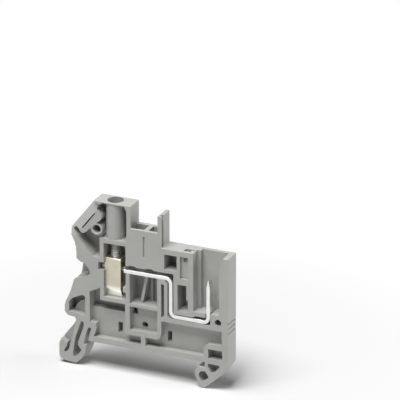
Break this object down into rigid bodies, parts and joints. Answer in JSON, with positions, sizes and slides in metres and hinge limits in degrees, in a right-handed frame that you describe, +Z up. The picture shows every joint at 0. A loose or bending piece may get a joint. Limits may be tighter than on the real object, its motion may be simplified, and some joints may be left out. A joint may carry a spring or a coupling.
{
  "type": "feed-through terminal block",
  "caption": "Slim rail-mounted terminal block: a screw clamp with a folded sleeve joined by a current bar to a plug contact pin, in one moulded housing with a snap foot.",
  "frame": {"origin": "on the centre line of the 35 mm mounting rail, level with the top of its brims, halfway through the block's thickness", "axes": "+X along the block towards the plug contact, +Z up away from the rail, +Y towards the closed side, so the open side faces -Y"},
  "size_m": [0.0479, 0.0052, 0.0469],
  "materials": {
    "housing_plastic": "smooth grey polyamide, slightly satin",
    "screw_steel": "zinc plated",
    "sleeve_steel": "zinc plated with a faint warm passivation",
    "tinned_bar": "bright tin plating on a copper alloy"
  },
  "bodies": {
    "housing": {"housing": "housing_plastic", "current_bar": "tinned_bar"},
    "screw": {"clamp_screw": "screw_steel"},
    "sleeve": {"clamp_sleeve": "sleeve_steel"}
  },
  "joints": [
    {"name": "screw_turn", "type": "hinge", "parent": "housing", "child": "screw", "pos_m": [-0.0085, 0, 0.03], "axis": [0, 0, -1], "range_deg": [0, 2881]},
    {"name": "sleeve_lift", "type": "slide", "parent": "housing", "child": "sleeve", "axis": [0, 0, 1], "range_m": [0, 0.004]}
  ],
  "couplings": [
    {"joint": "screw_turn", "follows": "sleeve_lift", "rad_per_m": 12566}
  ]
}
